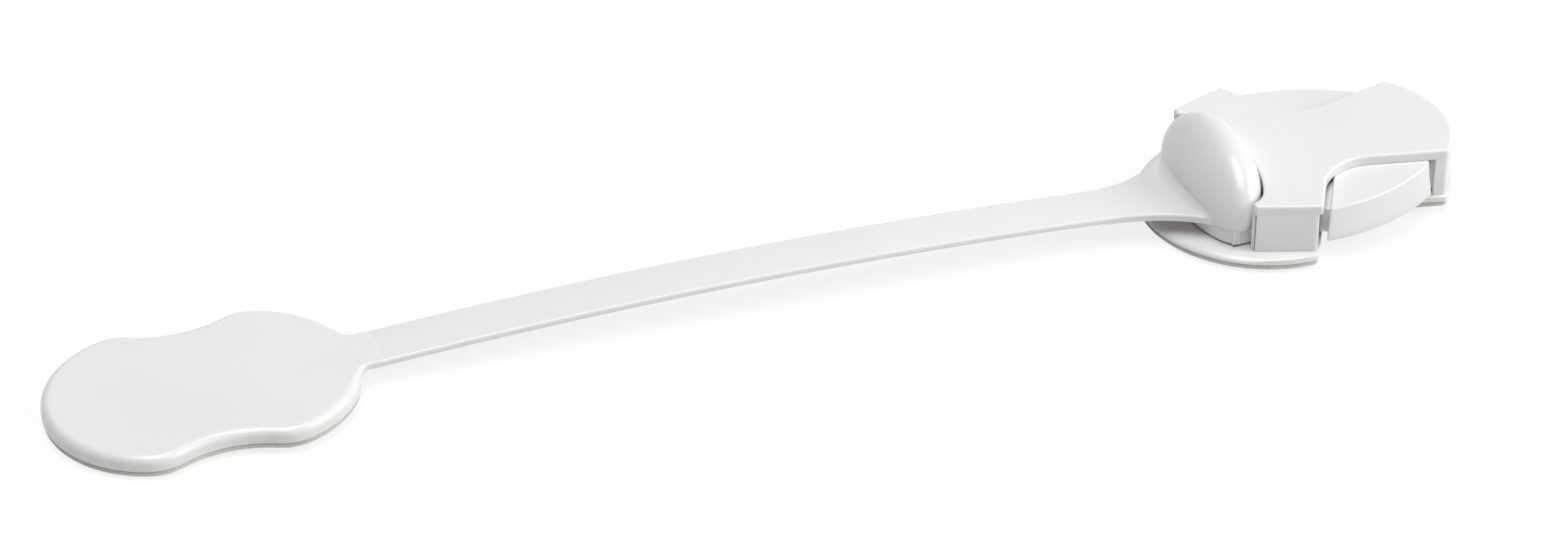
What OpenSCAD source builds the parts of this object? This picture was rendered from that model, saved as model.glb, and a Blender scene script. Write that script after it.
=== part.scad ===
// Toilet lid lock: a strap with an adhesive paddle at one end and a domed head at the other,
// whose arrow-ended tongue is caught by two squeeze buttons in a waisted lock body.
// Millimetres. X runs along the strap with the lock at +X, Z is up from the lock's adhesive face,
// and the origin is the centre of the base's round lobe on that face.

/* [Lock body] */
// Radius of the base's round lobe
lobe_r = 20; // [19.6:0.1:24]
// Height of the cover's flat top above the adhesive face
lock_h = 10.5; // [10.2:0.1:14]
// Wall of the cover
wall = 1.6; // [1.2:0.1:2]
// Thickness of the cover's top
top_t = 1.5; // [1:0.1:1.8]
// Where the cover's side walls end at the strap side
mouth_x = -8.2; // [-9.5:0.1:-7.5]
// Half width of the cover at the strap side
mouth_y = 15.5; // [15.3:0.1:17]
// Place along the strap of the cover's widest corner
shoulder_x = 1; // [0:0.1:2]
// Half width of the cover at its widest corner
shoulder_y = 19; // [18:0.1:19.3]
// Slope of the flank that runs inwards from the widest corner
flank_angle = 61; // [56:1:64]
// Place along the strap of the tail's corner
tail_x = 27.3; // [26.8:0.1:29]
// Half width of the cover at the tail's corner
tail_y = 11.4; // [11:0.1:13]
// Slope of the tail's sides
tail_angle = 13; // [11:0.5:14]
// End of the cover's round tail
end_x = 31.8; // [31.4:0.1:34]
// Radius of the cover's hollow waist
waist_r = 9; // [7:0.5:10]
// Rounding of the cover's widest corner
corner_r = 1; // [0.5:0.1:1.4]
// Inner end of the flank walls, measured from the middle
lane_y = 13; // [12.5:0.1:14.5]
// Where the side windows end at the tail
window_x = 25.2; // [25:0.1:25.6]

/* [Base and foam] */
// Thickness of the adhesive foam
foam_t = 0.9; // [0.6:0.1:1.5]
// How far the foam lies inside the base's edge
foam_inset = 0.2; // [0.1:0.1:1.5]
// Thickness of the base's rim
rim_t = 1.1; // [0.8:0.1:1.4]
// Height of the raised floor over the rim
floor_t = 0.9; // [0.5:0.1:1]
// How far the base stands out past the cover at waist and tail
base_margin = 0.4; // [0.1:0.1:0.8]

/* [Buttons] */
// Pivot post, place along the strap
pivot_x = 18.4; // [18.2:0.1:18.8]
// Pivot post, distance from the middle
pivot_y = 7; // [6.8:0.1:7.3]
// Radius of the pivot post
post_r = 1.5; // [1.2:0.1:1.8]
// Wall round the pivot post
eye_wall = 1.45; // [1.2:0.05:1.6]
// Furthest reach of a button from the middle
button_y = 18.6; // [17.8:0.1:19]
// Radius of the button's bowed outer face
bow_r = 34; // [32:0.5:40]
// How much wider the bowed face is at its foot than at mid height
bow_draft = 0.5; // [0.2:0.1:0.8]
// Gap between the cover's flank and the button's shoulder
shoulder_gap = 1.4; // [1.3:0.1:1.8]
// Height of a button
button_h = 5.4; // [4.8:0.1:5.6]
// Wall of a button
button_wall = 1.8; // [1.4:0.1:2.2]
// Top of a button
button_top_t = 1.6; // [1.2:0.1:1.8]
// Inner edge of a button, measured from the middle
button_in_y = 6.4; // [6:0.1:6.8]
// Thickness of a jaw
jaw_t = 1.4; // [1:0.1:1.6]
// Length of a jaw's tooth along the strap
tooth_l = 1.4; // [1:0.1:1.8]
// How far a jaw's tooth reaches behind the barb
tooth_grip = 0.5; // [0.3:0.05:0.55]

/* [Springs and screws] */
// Wire of a button spring
wire_d = 0.5; // [0.3:0.05:0.6]
// Outer diameter of a button spring
spring_d = 3.6; // [3:0.1:3.6]
// Turns of a button spring
spring_turns = 7; // [5:1:9]
// Place of the springs along the strap
spring_x = 12.8; // [12.6:0.1:13]
// Radius of a screw's shank
screw_r = 0.95; // [0.8:0.05:1]
// Radius of a screw's head
screw_head_r = 1.8; // [1.5:0.1:2]
// Height of a screw's head
screw_head_t = 1; // [0.8:0.1:1.1]

/* [Tongue] */
// Width of the tongue
tongue_w = 4.4; // [3.6:0.1:4.6]
// Height of the tongue
tongue_h = 4.6; // [4:0.1:4.9]
// Where the barb's catching face stands
barb_x = 28; // [27.8:0.1:28.2]
// Length of the barb
barb_l = 1.7; // [1.4:0.1:1.8]

/* [Strap] */
// Width of the strap
strap_w = 8.6; // [8:0.1:9.2]
// Thickness of the strap
strap_t = 1.2; // [1:0.1:1.6]
// Height of the strap over the lock's raised floor
strap_lift = 2.05; // [1.8:0.05:2.3]
// Where the band meets the flare of the head
band_lock_x = -29; // [-30:0.5:-28]
// Radius of the flare's hollow sides
flare_r = 25.3; // [24:0.1:28]
// Length of the band between head and paddle
band_l = 118.2; // [80:0.2:200]
// How much higher the band ends at the paddle
band_rise = 1.85; // [1.5:0.05:3]
// Arch of the band over its chord
band_arch = 1.85; // [1:0.05:3]

/* [Dome] */
// Place of the dome's middle along the strap
dome_x = -9; // [-9.2:0.05:-8.8]
// Height of the dome's middle
dome_z = 7; // [6.8:0.05:7.4]
// Half length of the dome across the strap
dome_b = 14.1; // [13.6:0.05:14.2]
// Half width of the dome square to its lean
dome_a = 5.6; // [5.3:0.05:5.8]
// Half height of the dome along its lean
dome_c = 8.8; // [8.4:0.05:9.4]
// Lean of the dome towards the lock
dome_lean = 15; // [10:1:18]

/* [Paddle] */
// Length of the paddle
paddle_l = 48.4; // [46:0.2:60]
// Width of the paddle at its lobes
paddle_w = 33.6; // [32:0.2:36]
// Width of the paddle at its waist
paddle_waist = 29.1; // [28:0.1:30]
// Distance of the lobes from the middle
paddle_lobe_x = 10.15; // [9.8:0.05:11]
// Radius of the lobes' corners
paddle_corner_r = 7.2; // [6.6:0.1:8]
// Thickness of the paddle
paddle_t = 2.5; // [2:0.1:4]
// Rounding of the paddle's upper edge
paddle_edge_r = 1.2; // [0.5:0.1:1.5]
// Length of the strap's root on the paddle
root_l = 3.3; // [2.5:0.1:6]
// Rounding where the root meets the paddle
root_r = 1.5; // [1:0.1:2]

/* [Hidden] */
$fn = 64;

// Clearances: fixed seats, things that slide or swing, and pivots
seat_gap = 0.15;
move_gap = 0.5;
pivot_gap = 0.05;
// Overlap of cutting shapes past the faces that they cut
cut = 1;
// Reach of cutting shapes that only have to be larger than the part
far = 60;

// Heights
seam_z = foam_t + rim_t;
root_z = foam_t + rim_t / 2;
floor_z = seam_z + floor_t;
plate_z = lock_h - top_t;
button_top_z = plate_z - 0.2;
button_z = button_top_z - button_h;
tongue_z = floor_z + move_gap;
lug_z = floor_z + 1.1;
skirt_z = floor_z + 2.1;
strap_z = floor_z + strap_lift;
strap_top_z = strap_z + strap_t;

// Foot of the strap head, which stands on the rim in front of the raised floor
neck_z = seam_z + 0.3;
neck_x = mouth_x - 0.4;
neck_inset = 0.55;

// Cover outline: side line, flank line, tail line and end arc of one half
side_angle = atan2(shoulder_y - mouth_y, shoulder_x - mouth_x);
end_dx = end_x - tail_x;
end_r = (end_dx * end_dx + tail_y * tail_y) / (2 * end_dx);
end_cx = end_x - end_r;

// Buttons
bow_c = [shoulder_x + 3, button_y - bow_r];
button_end_x = window_x - 0.9;
eye_r = post_r + pivot_gap + eye_wall;
tooth_x = barb_x - 0.8;
barb_y = tongue_w / 2 + 0.7 + tooth_grip;
jaw_y = barb_y + 0.25;
rail_y = tongue_w / 2 + 0.4;
rail_t = 1;
rail_top_z = floor_z + 3;
spring_z = (button_z + button_top_z - button_top_t) / 2;
spring_post = [2.6, 1.4];
spring_y0 = rail_y + rail_t + 0.9 + spring_post[1];
spigot_r = spring_d / 2 - wire_d - 0.2;
spigot_l = 1.4;

// Screws: two in the lobe and two in the tail
boss_r = 2;
screw_at = [[-2.5, 12.5], [-2.5, -12.5], [26.9, 8.6], [26.9, -8.6]];

// Band and paddle places
band_paddle_x = band_lock_x - band_l;
paddle_top_z = strap_top_z + band_rise;
paddle_z = paddle_top_z - paddle_t;
paddle_x = band_paddle_x - root_l - paddle_l / 2;

// Meeting point of two lines, each given by a point and the angle of its direction
function meet(p, a, q, b) =
    let (t = ((q[0] - p[0]) * sin(b) - (q[1] - p[1]) * cos(b)) / sin(b - a))
    [p[0] + t * cos(a), p[1] + t * sin(a)];

// Far meeting point of a line and a circle centred on the X axis
function line_circle(p, a, cx, r) =
    let (dx = p[0] - cx, along = dx * cos(a) + p[1] * sin(a),
         t = sqrt(along * along - dx * dx - p[1] * p[1] + r * r) - along)
    [p[0] + t * cos(a), p[1] + t * sin(a)];

// Lines of the cover's outline, moved inwards by d
function side_point(d) = [mouth_x + d * sin(side_angle), mouth_y - d * cos(side_angle)];
function flank_point(d) = [shoulder_x - d * sin(flank_angle), shoulder_y - d * cos(flank_angle)];
function tail_point(d) = [tail_x + d * sin(tail_angle), tail_y - d * cos(tail_angle)];
function mouth_corner(d) = meet(side_point(d), side_angle, [mouth_x, 0], 90);
function shoulder_corner(d) = meet(side_point(d), side_angle, flank_point(d), -flank_angle);
function waist_corner(d) = meet(flank_point(d), -flank_angle, tail_point(d), tail_angle);
function tail_corner(d) = line_circle(tail_point(d), tail_angle, end_cx, end_r - d);
function flank_x(y, d) = meet(flank_point(d), -flank_angle, [0, y], 0)[0];

// The sliver between a corner at p, with neighbours a and b, and an arc of radius r that rounds it,
// with its tip carried a little past the corner
sliver_in = 0.5;
module corner_sliver(a, p, b, r) {
    ua = (a - p) / norm(a - p);
    ub = (b - p) / norm(b - p);
    half = acos(ua * ub) / 2;
    middle = (ua + ub) / norm(ua + ub);
    difference() {
        polygon([p + ua * r / tan(half), p - middle * sliver_in, p + ub * r / tan(half)]);
        translate(p + middle * r / sin(half)) circle(r);
    }
}

module both_sides() {
    children();
    mirror([0, 1, 0]) children();
}

// Clearing at the waist between flank line, hollow arc and tail line, all moved inwards by d
module waist_notch(d) {
    w = waist_corner(d);
    r = waist_r + d;
    flank_dir = [-cos(flank_angle), sin(flank_angle)];
    tail_dir = [cos(tail_angle), sin(tail_angle)];
    half = (180 - flank_angle - tail_angle) / 2;
    run = r / tan(half);
    middle = (flank_dir + tail_dir) / norm(flank_dir + tail_dir);
    q1 = w + far * flank_dir;
    q2 = w + far * tail_dir;
    polygon([q1, w + run * flank_dir, w + run * tail_dir, q2, [q2[0], q1[1]]]);
    translate(w + middle * r / sin(half)) circle(r);
}

// Outline of the cover, moved inwards by d
module lock_outline(d) {
    m = mouth_corner(d);
    s = shoulder_corner(d);
    ahead = s + 3 * [cos(side_angle), sin(side_angle)];
    difference() {
        union() {
            polygon([m, ahead, [ahead[0] + 6, 0], [ahead[0], -ahead[1]], [m[0], -m[1]]]);
            translate([end_cx, 0]) circle(end_r - d);
        }
        both_sides() waist_notch(d);
        translate([m[0] - far, -far]) square([far, 2 * far]);
        if (corner_r > d) both_sides() corner_sliver(m, s, waist_corner(d), corner_r - d);
    }
}

// Outline of base and foam: the round lobe with waist and tail
module base_outline(d) {
    out = d - base_margin;
    difference() {
        union() {
            circle(lobe_r - d);
            translate([end_cx, 0]) circle(end_r - out);
        }
        both_sides() waist_notch(out);
    }
}

// Level sections of the leaning dome: its height, half width and drift per height, then the middle
// and the half width at z
dome_h = norm([dome_a * sin(dome_lean), dome_c * cos(dome_lean)]);
dome_w = dome_a * dome_c / dome_h;
dome_drift = (dome_c * dome_c - dome_a * dome_a) * sin(dome_lean) * cos(dome_lean) / (dome_h * dome_h);
function dome_mid(z) = dome_x + dome_drift * (z - dome_z);
function dome_half(z) = dome_w * sqrt(1 - pow((z - dome_z) / dome_h, 2));

// Gap between the dome and the cover's notch
notch_gap = 0.35;
module dome_notch() {
    translate([dome_mid(plate_z), 0]) scale([dome_half(plate_z) + notch_gap, dome_b + notch_gap]) circle(1);
}

// Plan of the strap head's foot under the dome, drawn in by an inset
module neck_oval(inset) {
    translate([dome_mid(skirt_z), 0]) scale([dome_w - inset, dome_b - inset]) circle(1);
}

module lock_foam_pad() {
    color("#b9b4aa") linear_extrude(foam_t) base_outline(foam_inset);
}

module screw_holes() {
    for (p = screw_at) translate(p) {
        translate([0, 0, foam_t - cut]) cylinder(h = floor_z + 2 * cut, r = screw_r + 0.2);
        translate([0, 0, foam_t - cut]) cylinder(h = screw_head_t + 0.1 + cut, r = screw_head_r + seat_gap);
    }
}

module lock_base() {
    color("#dedcdd") difference() {
        union() {
            translate([0, 0, foam_t]) linear_extrude(rim_t) base_outline(0);
            translate([0, 0, root_z]) linear_extrude(floor_z - root_z) lock_outline(wall + seat_gap);
            both_sides() base_fittings();
        }
        screw_holes();
    }
}

// Pivot post, spring seat and tongue rail of one side
module base_fittings() {
    translate([pivot_x, pivot_y, root_z]) cylinder(h = button_top_z - root_z, r = post_r);
    translate([shoulder_x, rail_y, root_z])
        cube([tooth_x - tooth_l - move_gap - shoulder_x, rail_t, rail_top_z - root_z]);
    translate([spring_x - spring_post[0] / 2, spring_y0 - spring_post[1], root_z])
        cube([spring_post[0], spring_post[1], spring_z + 1.3 - root_z]);
    translate([spring_x, spring_y0 - seat_gap, spring_z]) rotate([-90, 0, 0])
        cylinder(h = spigot_l + seat_gap, r = spigot_r);
}

module lock_cover() {
    color("#eceaec") difference() {
        union() {
            difference() {
                translate([0, 0, seam_z]) linear_extrude(lock_h - seam_z) lock_outline(0);
                translate([0, 0, seam_z - cut]) linear_extrude(plate_z - seam_z + cut) {
                    lock_outline(wall);
                    translate([mouth_x - cut, -mouth_corner(wall)[1]])
                        square([2 * cut, 2 * mouth_corner(wall)[1]]);
                }
                both_sides() translate([flank_x(lane_y, 0), 0, seam_z - cut])
                    cube([window_x - flank_x(lane_y, 0), far, plate_z - seam_z + cut]);
            }
            cover_bosses();
        }
        translate([0, 0, seam_z - cut]) linear_extrude(lock_h) dome_notch();
        for (p = screw_at) translate([p[0], p[1], 0]) cylinder(h = plate_z, r = screw_r + pivot_gap);
    }
}

module cover_bosses() {
    translate([0, 0, floor_z]) linear_extrude(plate_z - floor_z + top_t / 2) intersection() {
        for (p = screw_at) translate(p) circle(boss_r);
        lock_outline(wall / 2);
    }
}

module cover_screws() {
    color("#8d8f93") for (p = screw_at) translate([p[0], p[1], foam_t + 0.1]) {
        difference() {
            cylinder(h = screw_head_t, r = screw_head_r);
            translate([0, 0, 0.2]) cube([0.5, 2 * screw_head_r, 1], center = true);
        }
        cylinder(h = plate_z - foam_t - 1, r = screw_r);
    }
}

// Inner end of a button's shoulder wall, measured from the middle
shoulder_wall_y = 9.2;

// Shell of a button: bowed outside, shoulder towards the flank, open below
module button_plan(d) {
    reach = shoulder_gap + d;
    polygon([[flank_x(far, -reach), far], [flank_x(button_in_y, -reach), button_in_y],
             [pivot_x, button_in_y], [pivot_x + eye_r / 2, pivot_y + 1.4],
             [button_end_x - d, pivot_y + 1.4], [button_end_x - d, far]]);
}

module button_bow(d) {
    translate([bow_c[0], bow_c[1], button_z])
        cylinder(h = button_h, r1 = bow_r + bow_draft - d, r2 = bow_r - bow_draft - d, $fn = 128);
}

module button() {
    difference() {
        union() {
            difference() {
                intersection() {
                    button_bow(0);
                    translate([0, 0, button_z]) linear_extrude(button_h) button_plan(0);
                }
                intersection() {
                    button_bow(button_wall);
                    translate([0, 0, button_z - cut])
                        linear_extrude(button_h - button_top_t + cut) {
                            button_plan(button_wall);
                            translate([flank_x(shoulder_wall_y, -shoulder_gap) - cut, button_in_y - cut])
                                square([far, shoulder_wall_y - button_in_y + cut]);
                        }
                }
            }
            translate([pivot_x, pivot_y, button_z]) cylinder(h = button_h, r = eye_r);
            intersection() {
                button_bow(button_wall / 2);
                translate([pivot_x - jaw_t / 2, pivot_y + post_r, button_z]) cube([jaw_t, far, button_h]);
            }
            translate([pivot_x, jaw_y, button_z]) cube([tooth_x - pivot_x, jaw_t, button_h - 0.6]);
            translate([tooth_x - tooth_l, barb_y - tooth_grip, button_z])
                cube([tooth_l, jaw_y + jaw_t - barb_y + tooth_grip, button_h - 0.6]);
            intersection() {
                button_bow(button_wall / 2);
                translate([spring_x, bow_c[1] + bow_r - button_wall - spigot_l - 0.6, spring_z])
                    rotate([-90, 0, 0]) cylinder(h = far, r = spigot_r);
            }
        }
        translate([pivot_x, pivot_y, button_z - cut]) cylinder(h = button_h + 2 * cut, r = post_r + pivot_gap);
    }
}

module button_back() {
    color("#edecee") button();
}

module button_front() {
    color("#edecee") mirror([0, 1, 0]) button();
}

// Inner face of a button's bowed wall at the spring, at the spring's height
spring_y1 = bow_c[1] + sqrt(pow(bow_r - bow_draft - button_wall, 2) - pow(spring_x - bow_c[0], 2)) - seat_gap;

// One unbroken wire on a helix about the Y axis: rings of wire_sides points, closed by end caps
wire_sides = 6;
rings_per_turn = 10;
helix_r = (spring_d - wire_d) / 2;
helix_l = spring_y1 - spring_y0 - wire_d;
rings = spring_turns * rings_per_turn;

function wire_ring(i) =
    let (turn = 360 * i / rings_per_turn, y = spring_y0 + wire_d / 2 + helix_l * i / rings)
    [for (k = [0 : wire_sides - 1]) let (a = 360 * k / wire_sides, r = helix_r + wire_d / 2 * cos(a))
        [spring_x + r * cos(turn), y + wire_d / 2 * sin(a), spring_z + r * sin(turn)]];

function tube_faces(n, m) = concat(
    [[for (k = [0 : m - 1]) k]],
    [for (i = [0 : n - 1]) for (k = [0 : m - 1]) [(i + 1) * m + k, i * m + (k + 1) % m, i * m + k]],
    [for (i = [0 : n - 1]) for (k = [0 : m - 1])
        [(i + 1) * m + k, (i + 1) * m + (k + 1) % m, i * m + (k + 1) % m]],
    [[for (k = [m - 1 : -1 : 0]) n * m + k]]);

module button_spring() {
    polyhedron([for (i = [0 : rings]) each wire_ring(i)], tube_faces(rings, wire_sides));
}

module button_spring_back() {
    color("#a9adb2") button_spring();
}

module button_spring_front() {
    color("#a9adb2") mirror([0, 1, 0]) button_spring();
}

// Lug of the tongue that the strap head is moulded round, and the pocket that it fills
lug_x = dome_x - 2;
lug_top_z = tongue_z + tongue_h;

module tongue_lug(from_z, past) {
    translate([lug_x, -tongue_w, from_z])
        cube([dome_x + dome_a + past - lug_x, 2 * tongue_w, lug_top_z - from_z]);
}

module tongue() {
    half = tongue_w / 2;
    color("#e3e2e3") {
        tongue_lug(lug_z, 0);
        translate([lug_x, -tongue_w, neck_z]) cube([neck_x - lug_x, 2 * tongue_w, lug_z + cut - neck_z]);
        translate([0, 0, floor_z + 0.2]) linear_extrude(lug_z - floor_z - 0.2) intersection() {
            neck_oval(1.2);
            translate([neck_x, -far]) square([far, 2 * far]);
        }
        translate([dome_x, -half, tongue_z]) cube([barb_x + 0.2 - dome_x, tongue_w, tongue_h]);
        translate([dome_x + dome_a, 0, tongue_z]) linear_extrude(tongue_h)
            polygon([[0, -tongue_w], [half, -half], [half, half], [0, tongue_w]]);
        translate([barb_x, 0, tongue_z]) linear_extrude(tongue_h)
            polygon([[0, -barb_y], [barb_l / 3, -barb_y], [barb_l, -half / 2],
                     [barb_l, half / 2], [barb_l / 3, barb_y], [0, barb_y]]);
    }
}

// Plan of the strap's flare: hollow arcs from the band to the dome
flare_x = dome_x - dome_a / 4;

module flare_plan() {
    difference() {
        translate([band_lock_x, -dome_b]) square([flare_x - band_lock_x, 2 * dome_b]);
        both_sides() {
            translate([band_lock_x, strap_w / 2 + flare_r]) circle(flare_r);
            translate([band_lock_x - cut, strap_w / 2 + flare_r]) square([far, far]);
        }
    }
}

module strap_head() {
    color("#f0eff0") difference() {
        union() {
            intersection() {
                translate([dome_x, 0, dome_z]) rotate([0, dome_lean, 0])
                    scale([dome_a, dome_b, dome_c]) sphere(1, $fn = 96);
                translate([dome_x - far, -far, skirt_z]) cube(2 * far);
            }
            translate([0, 0, strap_z]) linear_extrude(strap_t) flare_plan();
            difference() {
                translate([0, 0, neck_z]) linear_extrude(skirt_z + 0.3 - neck_z) neck_oval(neck_inset);
                translate([neck_x, -far, neck_z - cut]) cube([far, 2 * far, lug_z - neck_z + cut]);
            }
        }
        tongue_lug(neck_z - cut, cut);
    }
}

// Band: part of a flat ring about an axis across the strap, cut square to the strap at both ends
band_chord = norm([band_l, band_rise]);
band_r = (band_chord * band_chord / 4 + band_arch * band_arch) / (2 * band_arch);
band_tilt = atan2(band_rise, band_l);
band_span = 2 * asin(band_chord / 2 / band_r);

module band_section() {
    edge = strap_t / 3;
    translate([-strap_t, -strap_w / 2 + edge]) square([strap_t, strap_w - 2 * edge]);
    translate([-strap_t + edge, -strap_w / 2]) square([strap_t - 2 * edge, strap_w]);
    for (x = [-strap_t + edge, -edge]) for (s = [-1, 1])
        translate([x, s * (strap_w / 2 - edge)]) circle(edge);
}

module strap_band() {
    color("#efeff1") intersection() {
        translate([(band_lock_x + band_paddle_x) / 2, 0, (strap_top_z + paddle_top_z) / 2])
            rotate([0, band_tilt, 0]) translate([0, 0, band_arch - band_r]) rotate([90, 0, 0])
                rotate([0, 0, 90 - band_span / 2 - 1]) rotate_extrude(angle = band_span + 2, $fn = 1800)
                    translate([band_r, 0]) band_section();
        translate([band_paddle_x, -far / 2, 0]) cube([band_l, far, far]);
    }
}

// Paddle outline: blunt end arcs, corner arcs and hollow waist arcs that meet without a kink
corner_y = paddle_w / 2 - paddle_corner_r;
end_q = paddle_l / 2 - paddle_corner_r;
blunt_x = (end_q * end_q - paddle_lobe_x * paddle_lobe_x - corner_y * corner_y) / (2 * (end_q - paddle_lobe_x));
blunt_r = paddle_l / 2 - blunt_x;
blunt_angle = atan2(corner_y, paddle_lobe_x - blunt_x);
waist_dy = paddle_waist / 2 - corner_y;
hollow_r = (paddle_lobe_x * paddle_lobe_x + waist_dy * waist_dy - paddle_corner_r * paddle_corner_r)
    / (2 * (paddle_corner_r - waist_dy));
hollow_y = paddle_waist / 2 + hollow_r;
// The waist block stops half a millimetre short of the corner arcs, so that their edges cross cleanly
hollow_x = paddle_lobe_x * hollow_r / (hollow_r + paddle_corner_r) - 0.5;

// Disc whose upper edge is rounded, and the spool that cuts the same rounding round a hollow
module round_disc(r, t, edge) {
    rotate_extrude() {
        square([r - edge, t]);
        square([r, t - edge]);
        translate([r - edge, t - edge]) circle(edge);
    }
}

module round_spool(r, t, edge) {
    rotate_extrude() difference() {
        translate([0, -cut]) square([r + edge, t + 2 * cut]);
        translate([r + edge, t - edge]) circle(edge);
        translate([r, -2 * cut]) square([2 * edge, t - edge + 2 * cut]);
    }
}

module paddle_body(d, t, edge) {
    for (m = [0, 1]) mirror([m, 0, 0]) intersection() {
        translate([blunt_x, 0]) round_disc(blunt_r - d, t, edge);
        translate([blunt_x, 0, -cut]) linear_extrude(t + 2 * cut)
            polygon([[0, 0], [far, far * tan(blunt_angle)], [far, -far * tan(blunt_angle)]]);
    }
    for (m = [0, 1]) mirror([m, 0, 0]) both_sides()
        translate([paddle_lobe_x, corner_y]) round_disc(paddle_corner_r - d, t, edge);
    difference() {
        translate([-hollow_x, -hollow_y, 0]) cube([2 * hollow_x, 2 * hollow_y, t]);
        both_sides() translate([0, hollow_y]) round_spool(hollow_r + d, t, edge);
    }
    translate([-paddle_lobe_x, -corner_y, 0]) cube([2 * paddle_lobe_x, 2 * corner_y, t]);
}

// Root of the strap: its sides run into the blunt end by hollow arcs
module root_plan() {
    root_x = band_paddle_x - paddle_x;
    hollow = [blunt_x + sqrt(pow(blunt_r + root_r, 2) - pow(strap_w / 2 + root_r, 2)), strap_w / 2 + root_r];
    foot = [blunt_x, 0] + (hollow - [blunt_x, 0]) * blunt_r / (blunt_r + root_r);
    difference() {
        polygon([[paddle_lobe_x, -foot[1]], [foot[0], -foot[1]], [hollow[0], -strap_w / 2], [root_x, -strap_w / 2],
                 [root_x, strap_w / 2], [hollow[0], strap_w / 2], foot, [paddle_lobe_x, foot[1]]]);
        both_sides() translate(hollow) circle(root_r);
    }
}

module paddle_plate() {
    color("#ebe9ea") translate([paddle_x, 0, paddle_z]) {
        paddle_body(0, paddle_t, paddle_edge_r);
        translate([0, 0, paddle_t - strap_t]) linear_extrude(strap_t) root_plan();
    }
}

module paddle_foam_pad() {
    color("#b9b4aa") translate([paddle_x, 0, paddle_z - foam_t]) paddle_body(foam_inset, foam_t, 0.05);
}

lock_foam_pad();
lock_base();
lock_cover();
cover_screws();
button_front();
button_back();
button_spring_front();
button_spring_back();
tongue();
strap_head();
strap_band();
paddle_plate();
paddle_foam_pad();
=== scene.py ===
"""Toilet lid lock: a strap with an adhesive paddle, a domed head and a squeeze-release lock body.

Shapes are worked out in millimetres in the part's own frame and put into meshes in metres. X runs along the
strap towards the lock, Y across it and Z up from the lock's adhesive face.
"""

import math

import bmesh
import bpy
import numpy as np
from mathutils import Matrix


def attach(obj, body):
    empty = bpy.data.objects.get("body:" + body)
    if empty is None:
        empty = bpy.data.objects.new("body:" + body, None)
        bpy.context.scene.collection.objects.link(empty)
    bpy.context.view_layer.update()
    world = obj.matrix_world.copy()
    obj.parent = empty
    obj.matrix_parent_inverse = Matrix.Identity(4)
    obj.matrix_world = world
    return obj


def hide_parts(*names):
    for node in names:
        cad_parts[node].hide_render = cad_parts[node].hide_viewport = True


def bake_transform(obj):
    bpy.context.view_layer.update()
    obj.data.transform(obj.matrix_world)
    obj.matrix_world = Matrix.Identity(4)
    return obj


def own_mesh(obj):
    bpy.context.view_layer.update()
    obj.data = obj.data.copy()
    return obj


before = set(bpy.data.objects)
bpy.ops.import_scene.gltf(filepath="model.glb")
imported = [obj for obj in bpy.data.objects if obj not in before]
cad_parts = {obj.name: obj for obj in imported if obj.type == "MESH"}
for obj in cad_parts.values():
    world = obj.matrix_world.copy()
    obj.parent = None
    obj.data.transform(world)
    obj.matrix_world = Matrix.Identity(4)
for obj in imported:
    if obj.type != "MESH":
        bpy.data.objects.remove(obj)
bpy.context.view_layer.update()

MM = 0.001
TURN = 2 * math.pi
QUARTER = math.pi / 2

# Heights of the lock
FOAM_T = 0.9
SEAM_Z = 2.0
FLOOR_Z = 2.9
PLATE_Z = 9.0
LOCK_H = 10.5
BUTTON_Z = 3.4
BUTTON_TOP_Z = 8.8
LID_Z = BUTTON_TOP_Z + 0.06
FITTING_Z = SEAM_Z - 0.5

# Cover outline, of which one half is given and the other mirrored
MOUTH = np.array([-8.6, 15.6])
SHOULDER = np.array([1.0, 19.0])
FLANK_ANGLE = math.radians(61)
TAIL = np.array([27.3, 11.4])
TAIL_ANGLE = math.radians(13)
END_X = 31.8
WAIST_R = 9.0
OUTLINE_STEP = 0.15
OUTLINE_SOFT = 0.32

# Cover lid, walls with the limits that they run between, and the bosses over the screws
FLANK_LIP = 0.55
LID_EDGE_R = 0.5
LID_FOOT_R = 0.02
WALL = 1.6
SIDE_WALL = 1.0
MOUTH_WALL = 0.5
WALL_LAP = 0.3
MOUTH_MARGIN = 0.15
SIDE_Y = 14.4
RETURN_X = 6.0
RETURN_Y = 16.5
MOUTH_WALL_Y = 10.5
WINDOW_X = 25.2
BOSSES = ((-2.5, 12.5), (26.9, 8.6))
BOSS_R = 2.0

# Base, with bars given as x0, x1, y0, y1
LOBE_R = 20.0
BASE_MARGIN = 0.4
SEAT_GAP = 0.15
FLOOR_X = -6.0
FLOOR_FOOT_Z = SEAM_Z - 0.4
RIM_OPEN_X = -11.0
RIM_EASE = 5.0
RIM_SLOPE = 1.6
RIM_EDGE = 0.4
RIM_FALL = 0.9
RIM_FLAT = 0.3
FOOT_IN = 0.15
FOOT_RISE = 0.12
POST_R = 1.5
RAIL = (1.0, 25.3, 2.6, 3.6)
RAIL_TOP_Z = 5.9
SEAT = (11.5, 14.1, 4.5, 5.9)
SEAT_TOP_Z = 6.6
FITTING_EDGE = 0.2

# Buttons, with bars given as x0, x1, y0, y1
BUTTON_Y = 18.6
BOW_R = 34.0
BOW_C = np.array([4.0, BUTTON_Y - BOW_R])
BOW_DRAFT = 0.5
PIVOT = (18.4, 7.0)
EYE_IN = 1.55
EYE_OUT = 3.0
SHOULDER_GAP = 1.4
SHOULDER_DRAFT = 0.15
BUTTON_IN_Y = 6.5
BUTTON_END_X = 24.3
BUTTON_END_Y = 8.6
HEEL = (20.2, 8.4)
HEEL_X = 19.2
BUTTON_WALL = 1.6
BUTTON_SIDE = 1.8
HOLLOW_IN_Y = 6.9
ROOF_Z = 7.2
JAW = (19.8, 27.2, 3.65, 5.05)
TOOTH = (25.8, 27.2, 2.9, 4.3)
JAW_TOP_Z = 8.2
WEB = (17.7, 19.1, 9.5, 13.2)
FLANGE_ALONG = (3.6, 13.0)
FLANGE_OFF = (-0.4, 1.9)
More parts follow.
